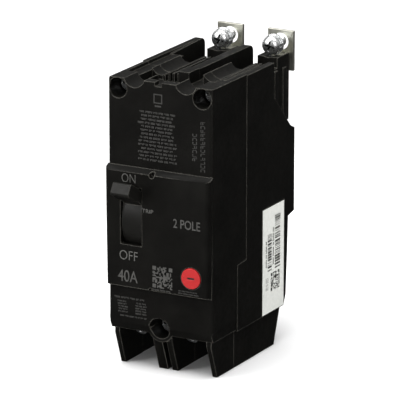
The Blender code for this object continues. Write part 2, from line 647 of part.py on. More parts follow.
def links(kit):
    x = MECHANISM_X
    start, end = Vector(CRADLE_LINK_YZ), Vector(TOGGLE_YZ)
    ahead = (end - start).normalized()
    upward = Vector((-ahead.y, ahead.x))
    fork = [(-2.6, -2.4), (-2.6, 2.4), (8.0, 3.9), (12.6, 3.9), (12.6, 3.0), (8.2, 3.0), (8.2, -3.0),
            (12.6, -3.0), (12.6, -3.9), (8.0, -3.9)]
    outline = [tuple(start + ahead * a + upward * b) for a, b in fork]
    upper = side_sheet(outline, (x - 2.4, x - 1.2))
    bridge = start + ahead * 6.6
    kit.join(upper, side_sheet(outline, (x + 1.2, x + 2.4)))
    kit.join(upper, across(0.9, bridge, (x - 2.0, x + 2.0), sides=12))
    kit.cut(upper, across(HOLE_R, CRADLE_LINK_YZ, (x - 5, x + 5), sides=16))
    kit.add("upper_link", upper, STEEL, (x, *CRADLE_LINK_YZ))

    crank = Vector(CRANK_YZ)
    ahead = (end - crank).normalized()
    upward = Vector((-ahead.y, ahead.x))
    bar = [(-2.6, -2.2), (-2.6, 2.2), (13.6, 2.2), (13.6, -2.2)]
    outline = [tuple(crank + ahead * a + upward * b) for a, b in bar]
    lower = side_sheet(outline, (x - 7.7, x - 6.5))
    kit.join(lower, side_sheet(outline, (x + 6.5, x + 7.7)))
    kit.join(lower, across(0.9, crank + ahead * 5.5 - upward, (x - 7.0, x + 7.0), sides=12))
    for yz in (CRANK_YZ, TOGGLE_YZ):
        kit.cut(lower, across(HOLE_R, yz, (x - 9, x + 9), sides=16))
    kit.add("lower_link", lower, STEEL, (x, *CRANK_YZ))
    kit.add("toggle_pin", across(PIN_R, TOGGLE_YZ, (x - 8.0, x + 8.0), sides=12), STEEL, (x, *CRANK_YZ))


def main_springs(kit):
    start, end = Vector(SPRING_YZ), Vector(TOGGLE_YZ)
    ahead = (end - start).normalized()
    low, high = start + ahead * 1.6, end - ahead * 3.5
    for side, x in (("outer", MECHANISM_X - 4.4), ("inner", MECHANISM_X + 4.4)):
        spring = coil((x, *low), (x, *high), 1.25, 0.35, 8, f"main_spring_{side}")
        kit.add(f"main_spring_{side}", spring, STEEL, (x, *SPRING_YZ))


def trip_bar(kit):
    y, z = TRIP_BAR_YZ
    bar = across(TRIP_BAR_R, TRIP_BAR_YZ, (-23.9, 23.9))
    x = MECHANISM_X
    hook = [(y - 0.3, z), (y - 0.3, -80.2), (41.4, -80.2), (41.4, -78.9), (45.5, -78.9), (45.5, z)]
    kit.join(bar, side_sheet(hook, (x - 1.5, x + 1.5)))
    kit.join(bar, box((BUTTON_XZ[0] - 1.5, BUTTON_XZ[0] + 1.5), (42.6, 45.4), (z, -81.2)))
    nub = [(y - 1.4, z), (y - 1.4, -94.6), (y + 1.4, -94.6), (52.2, -93.6), (52.2, -92.0), (y + 1.4, -92.0),
           (y + 1.4, z)]
    for pole_x in POLES.values():
        kit.join(bar, side_sheet(nub, (pole_x - 1.6, pole_x + 1.6)))
    kit.add("trip_bar", bar, BROWN, (0.0, *TRIP_BAR_YZ))


def trip_button(kit):
    x, z = BUTTON_XZ
    button = along(BUTTON_R, BUTTON_XZ, (-3.7, 3.4), sides=32)
    kit.join(button, along(5.8, BUTTON_XZ, (2.8, 4.4)), along(1.6, BUTTON_XZ, (4.0, 42.2), sides=16))
    kit.join(button, along(3.2, BUTTON_XZ, (17.4, 19.4)))
    kit.cut(button, box((x - 1.7, x + 1.7), (-5.0, -3.1), (z - 0.4, z + 0.4)))
    kit.add("trip_button", button, RED, (x, -3.7, z))
    spring = coil((x, 20.1, z), (x, 30.8, z), 2.55, 0.35, 6, "button_spring")
    kit.add("button_spring", spring, STEEL, (x, -3.7, z))


def trip_units(kit):
    for side, x in POLES.items():
        strip = box((x - 3.0, x + 3.0), (53.0, 54.0), (-94.0, -62.6))
        kit.join(strip, box((x - 3.0, x + 3.0), (53.0, 55.7), (-64.0, -62.6)))
        kit.add(f"bimetal_{side}", strip, STEEL)
        lead = [(56.0, -62.6), (57.2, -62.6), (57.2, -101.3), (6.0, -101.3), (6.0, -100.1), (56.0, -100.1)]
        kit.add(f"load_strap_{side}", side_sheet(lead, (x - 4.0, x + 4.0)), COPPER)
        yoke = box((x - 6.4, x + 6.4), (52.2, 59.2), (-85.0, -76.0))
        kit.cut(yoke, box((x - 4.8, x + 4.8), (50.0, 57.6), (-90.0, -70.0)))
        kit.add(f"magnet_yoke_{side}", yoke, STEEL)
        flap = box((x - 5.6, x + 5.6), (49.2, 50.4), (-87.0, -72.4))
        kit.add(f"armature_{side}", flap, STEEL, (x, *ARMATURE_YZ))
        route = [(x, 52.6, -45.0), (x, 58.0, -44.0), (x, 62.5, -49.0), (x, 61.8, -56.0), (x, 58.0, -58.4),
                 (x, 54.4, -60.8)]
        kit.add(f"braid_{side}", tube(route, 1.1, "braid"), COPPER)


def load_terminals(kit):
    """Box lugs in the wiring compartments, each with a screw that faces forward and down."""
    outline = [(4.9, -101.7), (18.6, -101.7), (18.6, -113.5), (9.4, -113.5), (4.9, -109.0)]
    lean = Vector((0.0, 1.0, 1.0)).normalized()
    for side, x in POLES.items():
        mouth = Vector((x, 7.15, -111.25))
        lug = side_sheet(outline, (x - 5.3, x + 5.3))
        kit.cut(lug, rod(3.4, (x, 14.0, -120.0), (x, 14.0, -90.0)))
        kit.cut(lug, rod(2.1, mouth - lean * 3, mouth + lean * 6))
        kit.add(f"load_lug_{side}", lug, TIN)
        screw = rod(2.55, mouth - lean * 2.8, mouth - lean * 0.4)
        kit.join(screw, rod(1.8, mouth - lean, mouth + lean * 4.6, sides=16))
        kit.cut(screw, rod(1.3, mouth - lean * 4.0, mouth - lean * 1.5, sides=6))
        kit.add(f"load_screw_{side}", screw, ZINC, mouth)


def main():
    clear_scene()
    kit = Assembly()
    base(kit)
    front_cover(kit)
    side_label(kit)
    case_screws(kit)
    line_terminals(kit)
    contact_arms(kit)
    crossbar(kit)
    arc_chutes(kit)
    side_plates(kit)
    handle(kit)
    cradle(kit)
    links(kit)
    main_springs(kit)
    trip_bar(kit)
    trip_button(kit)
    trip_units(kit)
    load_terminals(kit)
    bpy.context.view_layer.update()


main()
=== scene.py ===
"""Looks of a two-pole bolt-on circuit breaker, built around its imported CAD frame.

Places are in millimetres from the case datum: x from the middle, y back from the cover's front face and
z up from the cover's top front edge. place() turns them into the frame's metres.
"""

import json
import math
import random

import bmesh
import bpy
from mathutils import Matrix, Vector


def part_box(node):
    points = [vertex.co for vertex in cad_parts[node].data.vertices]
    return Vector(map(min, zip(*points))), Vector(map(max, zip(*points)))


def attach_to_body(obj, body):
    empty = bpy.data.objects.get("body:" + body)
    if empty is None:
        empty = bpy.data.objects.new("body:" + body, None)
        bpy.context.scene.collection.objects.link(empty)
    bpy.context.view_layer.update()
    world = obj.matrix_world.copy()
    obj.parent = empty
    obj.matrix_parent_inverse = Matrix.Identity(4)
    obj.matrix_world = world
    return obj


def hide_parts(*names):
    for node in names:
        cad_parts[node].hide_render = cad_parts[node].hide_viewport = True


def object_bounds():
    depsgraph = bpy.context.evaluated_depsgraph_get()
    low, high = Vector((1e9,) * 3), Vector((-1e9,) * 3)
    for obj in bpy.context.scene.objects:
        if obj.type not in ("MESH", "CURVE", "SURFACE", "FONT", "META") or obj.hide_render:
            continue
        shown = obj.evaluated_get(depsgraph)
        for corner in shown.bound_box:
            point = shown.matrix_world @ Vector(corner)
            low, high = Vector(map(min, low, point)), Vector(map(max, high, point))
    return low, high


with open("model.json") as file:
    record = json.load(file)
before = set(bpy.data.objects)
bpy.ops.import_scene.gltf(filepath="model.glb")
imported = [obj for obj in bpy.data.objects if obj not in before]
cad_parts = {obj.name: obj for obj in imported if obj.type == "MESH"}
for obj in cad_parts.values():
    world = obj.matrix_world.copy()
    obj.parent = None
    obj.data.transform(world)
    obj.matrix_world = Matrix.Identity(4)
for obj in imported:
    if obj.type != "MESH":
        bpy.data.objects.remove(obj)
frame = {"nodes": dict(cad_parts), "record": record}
CAD_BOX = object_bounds()
NODES = frame["nodes"]
SLOT_OF = {part["node"]: part["material_slot"] for part in frame["record"]["subparts"]}
BODY_OF = {node: body for body, nodes in frame["record"]["behaviour"]["bodies"].items() for node in nodes}

MM = 0.001
RAISED = 3.2
COVER_LOW, COVER_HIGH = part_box("front_cover")
DATUM = Vector((0.0, COVER_LOW.y + RAISED * MM, COVER_HIGH.z))

# Edges sharper than this are rounded where every edge beside them is longer than ROOM rounding widths
CRISP_ANGLE = 34.0
ROOM = 1.6

# Angles between faces over which shading breaks, on dressed pieces and on the line screws
SHADE_BREAK = 32.0
SCREW_SHADE_BREAK = 38.0

# The seam between the cover and the base: the step in it, its width, and how much of it is closed here
SEAM_STEP_Z = -82.2
SEAM_STEP_REACH = 0.8
SEAM_GAP = 0.3
SEAM_CLOSED = 0.24

# Distance within which a vertex counts as lying in the side label's pocket
POCKET_REACH = 0.5

# Mouths of the case screws' wells, and the thin strip of face over the upper two
WELLS = ("left", "right", "bottom")
WELL_MOUTH_R = 5.3
WELL_MOUTH_Y = 0.6
WELL_STRIP = 0.4
WELL_STRIP_X = 17.0

# Line screw: height of its domed crown, depths down its head, and its shank, thread and tip
CROWN = 2.0
HEAD_RIM = 2.45
HEAD_CHAMFER = 2.75
HEAD_UNDERSIDE = 2.8
SHANK_START = 3.0
THREAD_START = 3.3
THREAD_PITCH = 0.9
THREAD_ROOT_R = 2.1
THREAD_CREST_R = 2.4
TIP_R = 1.7
TIP_LENGTH = 0.8

# Cross recess: reach and half width of its arms, its depth, how far it is turned, how far its cutter starts
# over the crown, and the shares of reach and half width at that mouth and at the bottom
RECESS_REACH = 2.9
RECESS_HALF = 0.55
RECESS_DEPTH = 2.4
RECESS_TURN = 12.0
RECESS_START = 0.8
RECESS_MOUTH = (1.12, 1.05)
RECESS_BOTTOM = (0.45, 0.7)

# The trip button's slot: its middle, half its length and width, and how deep the paint lies in it
BUTTON_X = 16.8
BUTTON_SLOT_HALF = (1.65, 0.36)
BUTTON_SLOT_DEPTH = 0.35

# Camera, as a long lens would see the object
AZIMUTH = 28.569
ELEVATION = 16.183
ROLL = 0.045
CAMERA_DISTANCE = 1753.78
CAMERA_AIM = (21.522, -3.931, -47.355)
SENSOR = 36.0
LENS = 374.75

# Half the floor's width, and how far it lies under the object's feet, in metres
FLOOR_HALF = 1.1
FLOOR_DROP = 0.0001

# Heights of a view direction between which the surroundings brighten, and their brightness at each
WORLD_RISE = (-0.15, 0.75)
WORLD_LOW = 0.04
WORLD_HIGH = 0.45

# The point that the lights aim at
LIGHT_AIM = (0.0, 35.0, -60.0)

# Thickness of the print, the two faces of the cover that carry it, and the seed of its made-up strokes
INK_DEPTH = 0.03
RAISED_FACE_Y = -RAISED
UPPER_FACE_Y = 0.0
SEED = 7

# Small print, as shares of its height: lengths and gaps of words, and pitch, width and heights of letters
WORD_LENGTH = (1.2, 4.5)
WORD_GAP = 0.55
LETTER_PITCH = 0.62
LETTER_WIDTH = 0.72
LETTER_HEIGHTS = (1.0, 1.0, 0.62)
ROW_SHRINK = 0.22

# Larger made-up letters that run up the face: their pitch and how much of it a letter fills
UPRIGHT_PITCH = 0.78
UPRIGHT_FILL = 0.74

# Square code: cells along its side and along its three solid corners, and the share filled elsewhere
CODE_CELLS = 17
CODE_BLOCK = 3
CODE_SHARE = 0.52

# The code and the columns of the table on the cover
CODE_X = (-1.9, 7.7)
CODE_TOP = -79.9
TABLE_COLUMNS = ((-21.0, -15.5), (-12.4, -6.4))

# Bars of a bar code and the gaps between them
BAR_WIDTHS = (0.28, 0.28, 0.55, 0.85)
BAR_GAPS = (0.3, 0.3, 0.55, 0.8)

# Print on the side label, as ranges of y and z: bar codes, lines of numbers under them, and the square code
BARCODES = (((56.9, 61.9), (-93.2, -69.0)), ((50.2, 54.0), (-93.2, -76.2)))
BARCODE_LINES = (((54.9, 56.0), (-91.0, -74.0)), ((48.4, 49.4), (-91.0, -79.0)))
SIDE_LINES = ((48.6, 49.3), (50.1, 50.8))
SIDE_LINES_Z = (-101.6, -95.7)
SIDE_CODE_Y = 53.2
SIDE_CODE_TOP = -94.6
SIDE_CODE_SIZE = 8.2


def place(x, y, z):
    return DATUM + Vector((x, y, z)) * MM


def to_mm(point):
    return (point - DATUM) / MM


# ---------------------------------------------------------------- materials

class Surface:
    """A Principled material whose colour, roughness and relief come from noise in the piece's own space."""

    def __init__(self, name, metallic=0.0, specular=0.5):
        self.material = bpy.data.materials.new(name)
        self.material.use_nodes = True
        self.tree = self.material.node_tree
        self.shader = self.tree.nodes["Principled BSDF"]
        self.shader.inputs["Metallic"].default_value = metallic
        self.shader.inputs["Specular IOR Level"].default_value = specular
        self.space = self.node("ShaderNodeTexCoord").outputs["Object"]
        self.relief = None

    def node(self, kind, **settings):
        made = self.tree.nodes.new(kind)
        for key, value in settings.items():
            setattr(made, key, value)
        return made

    def link(self, output, target):
        self.tree.links.new(output, target)

    def noise(self, size_mm, detail=3.0, stretch=(1.0, 1.0, 1.0), rough=0.55):
        """Noise with features about size_mm across, drawn out along an axis where stretch is under 1."""
        mapping = self.node("ShaderNodeMapping")
        mapping.inputs["Scale"].default_value = [s / (size_mm * MM) for s in stretch]
        texture = self.node("ShaderNodeTexNoise")
        texture.inputs["Scale"].default_value = 1.0
        texture.inputs["Detail"].default_value = detail
        texture.inputs["Roughness"].default_value = rough
        self.link(self.space, mapping.inputs["Vector"])
        self.link(mapping.outputs["Vector"], texture.inputs["Vector"])
        return texture.outputs["Fac"]

    def spread(self, value, low, high, start=0.3, end=0.7):
        """A value's range from start to end, mapped onto low to high."""
        ranged = self.node("ShaderNodeMapRange")
        for name, number in zip(("From Min", "From Max", "To Min", "To Max"), (start, end, low, high)):
            ranged.inputs[name].default_value = number
        self.link(value, ranged.inputs["Value"])
        return ranged.outputs["Result"]

    def mix(self, factor, first, second):
        """A blend of two colours, each a tuple or another node's colour."""
        blend = self.node("ShaderNodeMix", data_type="RGBA")
        self.link(factor, blend.inputs["Factor"])
        for socket, colour in ((blend.inputs[6], first), (blend.inputs[7], second)):
            if isinstance(colour, tuple):
                socket.default_value = (*colour, 1.0)
            else:
                self.link(colour, socket)
        return blend.outputs[2]

    def edges(self, radius_mm):
        """Near 1 on sharp outer edges and 0 on flats, from how far the rounded normal leans away."""
        rounded = self.node("ShaderNodeBevel", samples=4)
        rounded.inputs["Radius"].default_value = radius_mm * MM
        geometry = self.node("ShaderNodeNewGeometry")
        dot = self.node("ShaderNodeVectorMath", operation="DOT_PRODUCT")
        self.link(rounded.outputs["Normal"], dot.inputs[0])
        self.link(geometry.outputs["Normal"], dot.inputs[1])
        return self.spread(dot.outputs["Value"], 1.0, 0.0, 0.85, 0.985)

    def crevices(self, reach_mm):
        """Near 0 deep inside recesses and 1 on open faces, as the mask of painted shade in recesses."""
        shade = self.node("ShaderNodeAmbientOcclusion", samples=8, only_local=True)
        shade.inputs["Distance"].default_value = reach_mm * MM
        return self.spread(shade.outputs["AO"], 0.0, 1.0, 0.35, 0.8)

    def bump(self, height, depth_mm, strength=1.0):
        bump = self.node("ShaderNodeBump")
        bump.inputs["Strength"].default_value = strength
        bump.inputs["Distance"].default_value = depth_mm * MM
        self.link(height, bump.inputs["Height"])
        if self.relief:
            self.link(self.relief, bump.inputs["Normal"])
        self.relief = bump.outputs["Normal"]

    def finish(self, colour, roughness):
        self.link(colour, self.shader.inputs["Base Color"])
        self.link(roughness, self.shader.inputs["Roughness"])
        if self.relief:
            self.link(self.relief, self.shader.inputs["Normal"])
        return self.material


# Colour of the painted shade deep in the recesses of metal pieces
RECESS_SHADE = (0.035, 0.034, 0.032)


def moulded(name, dark, light, edge, roughness, specular, grain_mm=0.35, grain_depth=0.02):
    """Moulded plastic: faint flow mottling, a fine spark-eroded grain, and a painted highlight along sharp
    edges, broken up in patches.
    """
    made = Surface(name, specular=specular)
    mottle = made.spread(made.noise(14.0, detail=4.0), 0.0, 1.0)
    grain = made.noise(grain_mm, detail=2.0)
    # Painted highlight: sharp outer edges are coloured paler, in patches, in place of the light that catches
    # them
    edge_highlight = made.edges(0.5)
    patchy_edge_highlight = made.node("ShaderNodeMath", operation="MULTIPLY")
    made.link(edge_highlight, patchy_edge_highlight.inputs[0])
    made.link(made.spread(made.noise(3.0), 0.45, 1.0), patchy_edge_highlight.inputs[1])
    colour = made.mix(patchy_edge_highlight.outputs["Value"], made.mix(mottle, dark, light), edge)
    made.bump(grain, grain_depth)
    made.bump(made.noise(6.0, detail=2.0), 0.03, 0.5)
    return made.finish(colour, made.spread(made.noise(2.2, detail=4.0), roughness - 0.05, roughness + 0.07))


def metal(name, dark, light, roughness, stretch=(1.0, 1.0, 1.0), scratch_mm=0.5, scratch_depth=0.008):
    """Plated or bare metal: slight tarnish in patches, drawn or rolled lines along one axis, and painted
    shade darkening its recesses.
    """
    made = Surface(name, metallic=1.0)
    patch = made.spread(made.noise(5.0, detail=5.0, rough=0.65), 0.0, 1.0, 0.35, 0.68)
    lines = made.noise(scratch_mm, detail=3.0, stretch=stretch)
    # Painted shade: recesses, such as a screw's cross recess, are darkened by ambient occlusion
    colour = made.mix(made.crevices(1.6), RECESS_SHADE, made.mix(patch, light, dark))
    made.bump(lines, scratch_depth)
    return made.finish(colour, made.spread(lines, roughness - 0.07, roughness + 0.1))


def film(name, dark, light, roughness):
    """Paper film or ink: a slight unevenness in tone, and a soft surface."""
    made = Surface(name, specular=0.3)
    tone = made.spread(made.noise(1.6, detail=4.0), 0.0, 1.0)
    made.bump(made.noise(0.25, detail=2.0), 0.004)
    colour = made.mix(tone, dark, light)
    return made.finish(colour, made.spread(made.noise(4.0), roughness - 0.05, roughness + 0.05))


# Each moulding's edge colour is a painted highlight on its sharp edges
MATERIALS = {
    "case_plastic": moulded(
        "black_thermoset", dark=(0.0030, 0.0028, 0.0023), light=(0.0056, 0.0053, 0.0044),
        edge=(0.16, 0.154, 0.134), roughness=0.5, specular=0.10),
    "handle_plastic": moulded(
        "satin_black_plastic", dark=(0.0072, 0.0069, 0.0060), light=(0.011, 0.0105, 0.0092),
        edge=(0.12, 0.116, 0.10), roughness=0.42, specular=0.18, grain_mm=0.25, grain_depth=0.01),
    "red_plastic": moulded(
        "red_moulding", dark=(0.36, 0.014, 0.015), light=(0.43, 0.019, 0.020),
        edge=(0.46, 0.045, 0.045), roughness=0.4, specular=0.2, grain_mm=0.3, grain_depth=0.006),
    "label_paper": film("white_label_film", dark=(0.68, 0.69, 0.65), light=(0.76, 0.77, 0.73), roughness=0.5),
    "screw_zinc": metal(
        "bright_zinc", dark=(0.84, 0.85, 0.85), light=(0.93, 0.94, 0.94), roughness=0.27,
        stretch=(1, 0.2, 1), scratch_mm=0.4, scratch_depth=0.0015),
    "tin_plate": metal(
        "tin_plated_copper", dark=(0.42, 0.415, 0.35), light=(0.66, 0.655, 0.58), roughness=0.4,
        stretch=(1, 1, 0.08), scratch_depth=0.003),
    "contact_silver": metal(
        "contact_silver", dark=(0.55, 0.52, 0.48), light=(0.86, 0.84, 0.8), roughness=0.3),
    "copper": metal(
        "bare_copper", dark=(0.42, 0.17, 0.09), light=(0.78, 0.4, 0.24), roughness=0.32,
        stretch=(1, 0.15, 0.15)),
    "steel": metal(
        "oiled_steel", dark=(0.28, 0.28, 0.28), light=(0.55, 0.55, 0.54), roughness=0.34,
        stretch=(1, 0.12, 1)),
    "chute_fibre": moulded(
        "vulcanised_fibre", dark=(0.2, 0.085, 0.05), light=(0.34, 0.16, 0.1),
        edge=(0.42, 0.24, 0.16), roughness=0.7, specular=0.2, grain_mm=0.2, grain_depth=0.03),
    "brown_phenolic": moulded(
        "brown_phenolic", dark=(0.075, 0.03, 0.019), light=(0.13, 0.055, 0.036),
        edge=(0.24, 0.13, 0.09), roughness=0.42, specular=0.4, grain_mm=0.3, grain_depth=0.01),
}
PALE_INK = film("pale_pad_print", dark=(0.075, 0.074, 0.069), light=(0.115, 0.113, 0.106), roughness=0.55)
MID_INK = film("grey_pad_print", dark=(0.045, 0.044, 0.041), light=(0.075, 0.074, 0.069), roughness=0.55)
DIM_INK = film("dim_laser_mark", dark=(0.028, 0.0275, 0.025), light=(0.045, 0.044, 0.041), roughness=0.55)
BLACK_INK = film("black_label_print", dark=(0.012, 0.012, 0.012), light=(0.03, 0.03, 0.03), roughness=0.45)


# ---------------------------------------------------------------- pieces

def object_from(name, work):
    """Turns a bmesh into a new object, which isn't in the scene yet."""
    mesh = bpy.data.meshes.new(name)
    work.to_mesh(mesh)
    work.free()
    return bpy.data.objects.new(name, mesh)


def attach(piece, node, material=None):
    """Links a new piece, gives it the node's body, and its finish: the given material, or else the one of the
    node's slot.
    """
    piece.data.materials.clear()
    piece.data.materials.append(material or MATERIALS[SLOT_OF[node]])
    if not piece.users_collection:
        bpy.context.scene.collection.objects.link(piece)
    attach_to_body(piece, BODY_OF[node])


def smooth(piece):
    """Smooth shading that keeps the flats flat between rounded edges."""
    piece.data.shade_smooth()
    piece.data.set_sharp_from_angle(angle=math.radians(SHADE_BREAK))
    weighted = piece.modifiers.new("even_shading", "WEIGHTED_NORMAL")
    weighted.keep_sharp = True


def by_well_mouth(vertex):
    """Whether a vertex lies on a case screw well's chamfer, or on the thin strip of face over it."""
    spot = to_mm(vertex.co)
    if spot.y > WELL_MOUTH_Y:
        return False
    for name in WELLS:
        low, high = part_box(f"case_screw_{name}")
        if (vertex.co.xz - ((low + high) / 2).xz).length < WELL_MOUTH_R * MM:
            return True
    return spot.z > -WELL_STRIP and abs(spot.x) > WELL_STRIP_X


def in_label_pocket(vertex):
    """Whether a vertex lies on the rim or the floor of the side label's pocket."""
    low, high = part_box("side_label")
    reach = POCKET_REACH * MM
    if vertex.co.x <= low.x - reach:
        return False
    return all(low.yz[i] - reach < vertex.co.yz[i] < high.yz[i] + reach for i in range(2))


def crisp_edges(work, width):
    """The edges that a mould or a press would leave slightly rounded, where there is room to round them."""
    found = []
    for edge in work.edges:
        if len(edge.link_faces) != 2 or edge.calc_face_angle(0.0) < math.radians(CRISP_ANGLE):
            continue
        near = [other.calc_length() for vertex in edge.verts for other in vertex.link_edges]
        tight = any(all(test(vertex) for vertex in edge.verts) for test in (in_label_pocket, by_well_mouth))
        if min(near) > ROOM * width and not tight:
            found.append(edge)
    return found


def close_seam(work):
    """Moves the cover's rear faces back until only a hairline is left between them and the base."""
    base_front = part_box("base")[0].y
    cover_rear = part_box("front_cover")[1].y
    step_z = place(0.0, 0.0, SEAM_STEP_Z).z
    for vertex in work.verts:
        if min(abs(vertex.co.y - cover_rear), abs(vertex.co.y + SEAM_GAP * MM - base_front)) < 1e-5:
            vertex.co.y += SEAM_CLOSED * MM
            if abs(vertex.co.z - step_z) < SEAM_STEP_REACH * MM:
                vertex.co.z -= SEAM_CLOSED * MM


def dress(node, width_mm, segments=2):
    """Replaces a CAD node by the same shape with its facets merged and its edges rounded."""
    work = bmesh.new()
    work.from_mesh(NODES[node].data)
    bmesh.ops.remove_doubles(work, verts=work.verts, dist=2e-6)
    bmesh.ops.dissolve_limit(work, angle_limit=math.radians(0.7), verts=work.verts, edges=work.edges)
    if node == "front_cover":
        close_seam(work)
    width = width_mm * MM
    bmesh.ops.bevel(work, geom=crisp_edges(work, width), offset=width, offset_type="OFFSET",
                    segments=segments, profile=0.5, affect="EDGES", clamp_overlap=False)
    piece = object_from(node + "_finished", work)
    attach(piece, node)
    smooth(piece)
    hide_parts(node)


def turned(name, profile, centre, axis_turn):
    """A lathed solid from (radius, height) points, in millimetres, about an axis through centre."""
    work = bmesh.new()
    verts = [work.verts.new((r * MM, 0.0, h * MM)) for r, h in profile]
    edges = [work.edges.new(pair) for pair in zip(verts, verts[1:])]
    bmesh.ops.spin(work, geom=verts + edges, cent=(0, 0, 0), axis=(0, 0, 1), angle=2 * math.pi, steps=48)
    bmesh.ops.remove_doubles(work, verts=work.verts, dist=1e-6)
    bmesh.ops.recalc_face_normals(work, faces=work.faces)
    work.transform(Matrix.Translation(centre) @ axis_turn.to_4x4())
    return object_from(name, work)


def carve(piece, cutter):
    """Cuts one mesh object out of another, applies the result and removes the cutter."""
    for thing in (piece, cutter):
        if not thing.users_collection:
            bpy.context.scene.collection.objects.link(thing)
    change = piece.modifiers.new("recess", "BOOLEAN")
    change.operation = "DIFFERENCE"
    change.solver = "EXACT"
    change.use_self = True
    change.object = cutter
    bpy.context.view_layer.update()
    result = bpy.data.meshes.new_from_object(piece.evaluated_get(bpy.context.evaluated_depsgraph_get()))
    piece.modifiers.clear()
    piece.data = result
    bpy.data.objects.remove(cutter, do_unlink=True)


def cross_recess(centre, turn):
    """The cutter of a cross recess: two crossed blocks, which taper towards the recess's bottom."""
    work = bmesh.new()
    for quarter in (0.0, math.pi / 2):
        made = bmesh.ops.create_cube(work, size=1.0)["verts"]
        for vertex in made:
            deep = vertex.co.z > 0
            share_x, share_y = RECESS_BOTTOM if deep else RECESS_MOUTH
            vertex.co.x *= 2 * (RECESS_REACH * share_x) * MM
            vertex.co.y *= 2 * RECESS_HALF * share_y * MM
            vertex.co.z = (RECESS_DEPTH if deep else -RECESS_START) * MM
        bmesh.ops.rotate(work, verts=made, cent=(0, 0, 0), matrix=Matrix.Rotation(quarter, 3, "Z"))
    work.transform(Matrix.Translation(centre) @ turn.to_4x4())
    return object_from("recess_cutter", work)


def line_screw_profile(head, length):
    """A line screw's outline from the middle of its crown to its tip, with the thread as rings."""
    crown = []
    for degrees in range(0, 91, 9):
        turn = math.radians(degrees)
        crown.append((head * math.sin(turn), CROWN * (1 - math.cos(turn))))
    under_head = [(head, HEAD_RIM), (head - 0.2, HEAD_CHAMFER), (THREAD_CREST_R + 0.05, HEAD_UNDERSIDE),
                  (THREAD_CREST_R, SHANK_START)]
    thread = []
    depth = THREAD_START
    while depth + THREAD_PITCH < length - TIP_LENGTH:
        thread += [(THREAD_ROOT_R, depth), (THREAD_CREST_R, depth + THREAD_PITCH / 2)]
        depth += THREAD_PITCH
    return crown + under_head + thread + [(THREAD_ROOT_R, depth), (TIP_R, length), (0.0, length)]


def line_screw(side):
    """Pan-head screw with a cross recess, its shank threaded into the bus plate."""
    node = f"line_screw_{side}"
    low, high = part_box(node)
    centre = Vector(((low.x + high.x) / 2, low.y, (low.z + high.z) / 2))
    turn = Matrix.Rotation(math.radians(-90), 3, "X")
    profile = line_screw_profile((high.x - low.x) / 2 / MM, (high.y - low.y) / MM)
    screw = turned(node + "_finished", profile, centre, turn)
    carve(screw, cross_recess(centre, turn @ Matrix.Rotation(math.radians(RECESS_TURN), 3, "Z")))
    attach(screw, node)
    screw.data.shade_smooth()
    screw.data.set_sharp_from_angle(angle=math.radians(SCREW_SHADE_BREAK))
    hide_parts(node)


# ---------------------------------------------------------------- print

def block(work, size, middle):
    """A block from its sizes and its middle, both in millimetres."""
    scale = Matrix.Diagonal((*(length * MM for length in size), 1.0))
    bmesh.ops.create_cube(work, size=1.0, matrix=Matrix.Translation(place(*middle)) @ scale)


def slab(work, x, z, y, depth):
    """A thin block on a face that looks forward."""
    block(work, (x[1] - x[0], depth, z[1] - z[0]), ((x[0] + x[1]) / 2, y - depth / 2, (z[0] + z[1]) / 2))


def side_slab(work, y, z, x, depth):
    """A thin block let into a face that looks to the right, flush with it."""
    block(work, (depth, y[1] - y[0], z[1] - z[0]), (x - depth / 2, (y[0] + y[1]) / 2, (z[0] + z[1]) / 2))


def printed(name, work, node, ink):
    """Makes a piece of print from its blocks, in an ink, on a node."""
    attach(object_from(name, work), node, ink)


def lettering(name, text, x, z, ink=PALE_INK, weight=0.0):
    """Generic lettering, fitted to a width and a height on the cover's raised face."""
    curve = bpy.data.curves.new(name, "FONT")
    curve.body = text
    curve.offset = weight
    curve.extrude = 0.01
    curve.resolution_u = 6
    holder = bpy.data.objects.new(name, curve)
    bpy.context.scene.collection.objects.link(holder)
    bpy.context.view_layer.update()
    mesh = bpy.data.meshes.new_from_object(holder.evaluated_get(bpy.context.evaluated_depsgraph_get()))
    bpy.data.objects.remove(holder, do_unlink=True)
    mesh.name = name
    spans = []
    for axis in range(3):
        values = [vertex.co[axis] for vertex in mesh.vertices]
        spans.append((min(values), max(values) - min(values)))
    for vertex in mesh.vertices:
        u, v, w = ((vertex.co[i] - spans[i][0]) / spans[i][1] for i in range(3))
        vertex.co = place(x[0] + u * (x[1] - x[0]), RAISED_FACE_Y - w * INK_DEPTH, z[0] + v * (z[1] - z[0]))
    if mesh.polygons[0].normal.y > 0:
        mesh.flip_normals()
    attach(bpy.data.objects.new(name, mesh), "front_cover", ink)


def words(rng, start, end, height):
    """Spans of made-up words along a line of small print."""
    at = start
    while at < end - height:
        length = min(rng.uniform(*WORD_LENGTH) * height, end - at)
        yield at, at + length
        at += length + height * WORD_GAP


def glyphs(rng, start, end, height):
    """Short strokes inside a word, so that a line of print doesn't read as a bar."""
    for near, far in words(rng, start, end, height):
        count = max(1, round((far - near) / (height * LETTER_PITCH)))
        step = (far - near) / count
        for i in range(count):
            yield near + i * step, near + (i + LETTER_WIDTH) * step


def text_rows(name, x, z, y, rows, fill, seed, centred=False):
    """A block of small print in rows, as strokes that say nothing."""
    rng = random.Random(SEED + seed)
    work = bmesh.new()
    pitch = (z[1] - z[0]) / rows
    height = pitch * fill
    for row in range(rows):
        top = z[1] - row * pitch
        shrink = rng.uniform(0.0, ROW_SHRINK) * (x[1] - x[0])
        left = x[0] + (shrink / 2 if centred else 0.0)
        right = x[1] - (shrink / 2 if centred else shrink)
        for near, far in glyphs(rng, left, right, height):
            low = top - height * rng.choice(LETTER_HEIGHTS)
            slab(work, (near, far), (low, top), y, INK_DEPTH)
    printed(name, work, "front_cover", DIM_INK)


